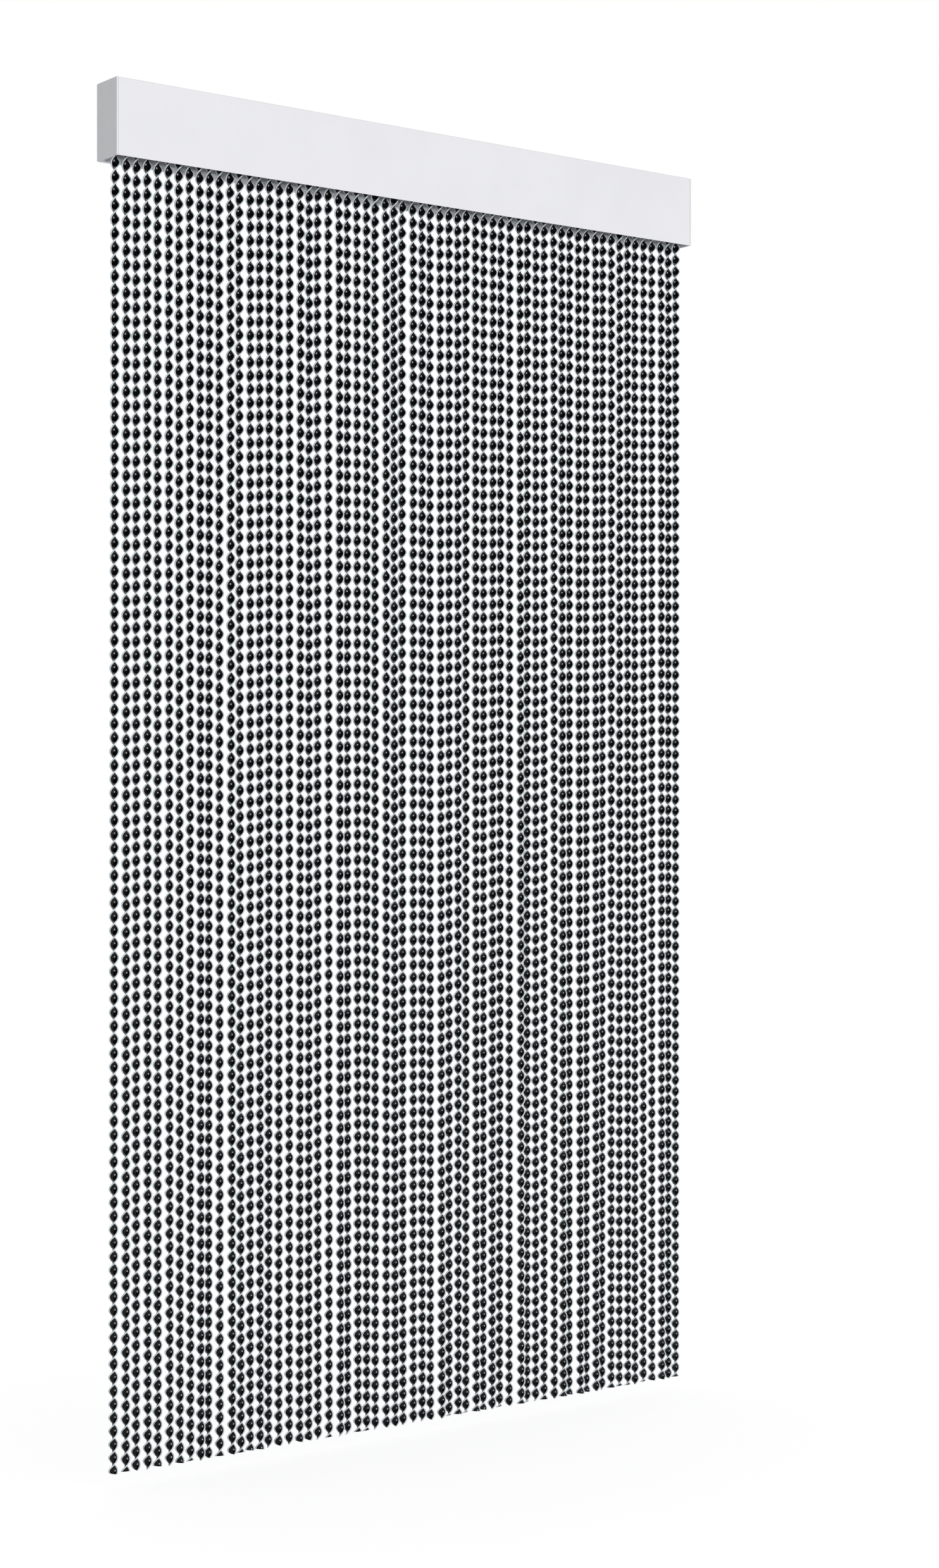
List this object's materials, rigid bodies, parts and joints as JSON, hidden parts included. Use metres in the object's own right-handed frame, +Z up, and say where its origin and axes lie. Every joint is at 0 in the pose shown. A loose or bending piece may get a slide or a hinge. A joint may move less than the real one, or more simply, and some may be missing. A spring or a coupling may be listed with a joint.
{
  "type": "fly curtain",
  "caption": "Strand door curtain: a box-section head rail on wall brackets, with twisted plastic strands on a rod inside it that swing aside for people and keep insects out.",
  "frame": {"origin": "middle of the wall plane behind the head rail, on the back of the middle wall bracket", "axes": "+Z up, +X along the rail to the right as seen from the room, +Y into the wall"},
  "size_m": [1.2, 0.064, 2.2],
  "materials": {
    "rail_coating": "satin",
    "end_cap": "satin",
    "rod_steel": "satin",
    "zinc_steel": "satin",
    "strand_web": "gloss",
    "strand_bead": "gloss"
  },
  "bodies": {
    "rail": {"head_rail": "rail_coating", "end_cap_left": "end_cap", "end_cap_right": "end_cap", "hanging_rod": "rod_steel", "rod_hanger_1": "zinc_steel", "rod_hanger_2": "zinc_steel", "rod_hanger_3": "zinc_steel", "rod_hanger_4": "zinc_steel", "rod_hanger_5": "zinc_steel", "rod_hanger_6": "zinc_steel", "wall_bracket_1": "zinc_steel", "wall_bracket_2": "zinc_steel", "wall_bracket_3": "zinc_steel", "lock_screw_1": "zinc_steel", "lock_screw_2": "zinc_steel", "lock_screw_3": "zinc_steel"},
    "pair_01": {"strand_pair_01": "strand_web"},
    "pair_02": {"strand_pair_02": "strand_web"},
    "pair_03": {"strand_pair_03": "strand_web"},
    "pair_04": {"strand_pair_04": "strand_web"},
    "pair_05": {"strand_pair_05": "strand_web"},
    "pair_06": {"strand_pair_06": "strand_web"},
    "pair_07": {"strand_pair_07": "strand_web"},
    "pair_08": {"strand_pair_08": "strand_web"},
    "pair_09": {"strand_pair_09": "strand_web"},
    "pair_10": {"strand_pair_10": "strand_web"},
    "pair_11": {"strand_pair_11": "strand_web"},
    "pair_12": {"strand_pair_12": "strand_web"},
    "pair_13": {"strand_pair_13": "strand_web"},
    "pair_14": {"strand_pair_14": "strand_web"},
    "pair_15": {"strand_pair_15": "strand_web"},
    "pair_16": {"strand_pair_16": "strand_web"},
    "pair_17": {"strand_pair_17": "strand_web"},
    "pair_18": {"strand_pair_18": "strand_web"},
    "pair_19": {"strand_pair_19": "strand_web"},
    "pair_20": {"strand_pair_20": "strand_web"},
    "pair_21": {"strand_pair_21": "strand_web"},
    "pair_22": {"strand_pair_22": "strand_web"},
    "pair_23": {"strand_pair_23": "strand_web"},
    "pair_24": {"strand_pair_24": "strand_web"},
    "pair_25": {"strand_pair_25": "strand_web"},
    "pair_26": {"strand_pair_26": "strand_web"},
    "pair_27": {"strand_pair_27": "strand_web"},
    "pair_28": {"strand_pair_28": "strand_web"},
    "pair_29": {"strand_pair_29": "strand_web"},
    "pair_30": {"strand_pair_30": "strand_web"},
    "pair_31": {"strand_pair_31": "strand_web"}
  },
  "joints": [
    {"name": "pair_01_swing", "type": "hinge", "parent": "rail", "child": "pair_01", "pos_m": [-0.57649, -0.0365, -0.0415], "axis": [1, 0, 0], "range_deg": [-35, 35]},
    {"name": "pair_02_swing", "type": "hinge", "parent": "rail", "child": "pair_02", "pos_m": [-0.53806, -0.0365, -0.0415], "axis": [1, 0, 0], "range_deg": [-35, 35]},
    {"name": "pair_03_swing", "type": "hinge", "parent": "rail", "child": "pair_03", "pos_m": [-0.49963, -0.0365, -0.0415], "axis": [1, 0, 0], "range_deg": [-35, 35]},
    {"name": "pair_04_swing", "type": "hinge", "parent": "rail", "child": "pair_04", "pos_m": [-0.46119, -0.0365, -0.0415], "axis": [1, 0, 0], "range_deg": [-35, 35]},
    {"name": "pair_05_swing", "type": "hinge", "parent": "rail", "child": "pair_05", "pos_m": [-0.42276, -0.0365, -0.0415], "axis": [1, 0, 0], "range_deg": [-35, 35]},
    {"name": "pair_06_swing", "type": "hinge", "parent": "rail", "child": "pair_06", "pos_m": [-0.38433, -0.0365, -0.0415], "axis": [1, 0, 0], "range_deg": [-35, 35]},
    {"name": "pair_07_swing", "type": "hinge", "parent": "rail", "child": "pair_07", "pos_m": [-0.3459, -0.0365, -0.0415], "axis": [1, 0, 0], "range_deg": [-35, 35]},
    {"name": "pair_08_swing", "type": "hinge", "parent": "rail", "child": "pair_08", "pos_m": [-0.30746, -0.0365, -0.0415], "axis": [1, 0, 0], "range_deg": [-35, 35]},
    {"name": "pair_09_swing", "type": "hinge", "parent": "rail", "child": "pair_09", "pos_m": [-0.26903, -0.0365, -0.0415], "axis": [1, 0, 0], "range_deg": [-35, 35]},
    {"name": "pair_10_swing", "type": "hinge", "parent": "rail", "child": "pair_10", "pos_m": [-0.2306, -0.0365, -0.0415], "axis": [1, 0, 0], "range_deg": [-35, 35]},
    {"name": "pair_11_swing", "type": "hinge", "parent": "rail", "child": "pair_11", "pos_m": [-0.19216, -0.0365, -0.0415], "axis": [1, 0, 0], "range_deg": [-35, 35]},
    {"name": "pair_12_swing", "type": "hinge", "parent": "rail", "child": "pair_12", "pos_m": [-0.15373, -0.0365, -0.0415], "axis": [1, 0, 0], "range_deg": [-35, 35]},
    {"name": "pair_13_swing", "type": "hinge", "parent": "rail", "child": "pair_13", "pos_m": [-0.1153, -0.0365, -0.0415], "axis": [1, 0, 0], "range_deg": [-35, 35]},
    {"name": "pair_14_swing", "type": "hinge", "parent": "rail", "child": "pair_14", "pos_m": [-0.07687, -0.0365, -0.0415], "axis": [1, 0, 0], "range_deg": [-35, 35]},
    {"name": "pair_15_swing", "type": "hinge", "parent": "rail", "child": "pair_15", "pos_m": [-0.03843, -0.0365, -0.0415], "axis": [1, 0, 0], "range_deg": [-35, 35]},
    {"name": "pair_16_swing", "type": "hinge", "parent": "rail", "child": "pair_16", "pos_m": [0, -0.0365, -0.0415], "axis": [1, 0, 0], "range_deg": [-35, 35]},
    {"name": "pair_17_swing", "type": "hinge", "parent": "rail", "child": "pair_17", "pos_m": [0.03843, -0.0365, -0.0415], "axis": [1, 0, 0], "range_deg": [-35, 35]},
    {"name": "pair_18_swing", "type": "hinge", "parent": "rail", "child": "pair_18", "pos_m": [0.07687, -0.0365, -0.0415], "axis": [1, 0, 0], "range_deg": [-35, 35]},
    {"name": "pair_19_swing", "type": "hinge", "parent": "rail", "child": "pair_19", "pos_m": [0.1153, -0.0365, -0.0415], "axis": [1, 0, 0], "range_deg": [-35, 35]},
    {"name": "pair_20_swing", "type": "hinge", "parent": "rail", "child": "pair_20", "pos_m": [0.15373, -0.0365, -0.0415], "axis": [1, 0, 0], "range_deg": [-35, 35]},
    {"name": "pair_21_swing", "type": "hinge", "parent": "rail", "child": "pair_21", "pos_m": [0.19216, -0.0365, -0.0415], "axis": [1, 0, 0], "range_deg": [-35, 35]},
    {"name": "pair_22_swing", "type": "hinge", "parent": "rail", "child": "pair_22", "pos_m": [0.2306, -0.0365, -0.0415], "axis": [1, 0, 0], "range_deg": [-35, 35]},
    {"name": "pair_23_swing", "type": "hinge", "parent": "rail", "child": "pair_23", "pos_m": [0.26903, -0.0365, -0.0415], "axis": [1, 0, 0], "range_deg": [-35, 35]},
    {"name": "pair_24_swing", "type": "hinge", "parent": "rail", "child": "pair_24", "pos_m": [0.30746, -0.0365, -0.0415], "axis": [1, 0, 0], "range_deg": [-35, 35]},
    {"name": "pair_25_swing", "type": "hinge", "parent": "rail", "child": "pair_25", "pos_m": [0.3459, -0.0365, -0.0415], "axis": [1, 0, 0], "range_deg": [-35, 35]},
    {"name": "pair_26_swing", "type": "hinge", "parent": "rail", "child": "pair_26", "pos_m": [0.38433, -0.0365, -0.0415], "axis": [1, 0, 0], "range_deg": [-35, 35]},
    {"name": "pair_27_swing", "type": "hinge", "parent": "rail", "child": "pair_27", "pos_m": [0.42276, -0.0365, -0.0415], "axis": [1, 0, 0], "range_deg": [-35, 35]},
    {"name": "pair_28_swing", "type": "hinge", "parent": "rail", "child": "pair_28", "pos_m": [0.46119, -0.0365, -0.0415], "axis": [1, 0, 0], "range_deg": [-35, 35]},
    {"name": "pair_29_swing", "type": "hinge", "parent": "rail", "child": "pair_29", "pos_m": [0.49963, -0.0365, -0.0415], "axis": [1, 0, 0], "range_deg": [-35, 35]},
    {"name": "pair_30_swing", "type": "hinge", "parent": "rail", "child": "pair_30", "pos_m": [0.53806, -0.0365, -0.0415], "axis": [1, 0, 0], "range_deg": [-35, 35]},
    {"name": "pair_31_swing", "type": "hinge", "parent": "rail", "child": "pair_31", "pos_m": [0.57649, -0.0365, -0.0415], "axis": [1, 0, 0], "range_deg": [-35, 35]}
  ]
}
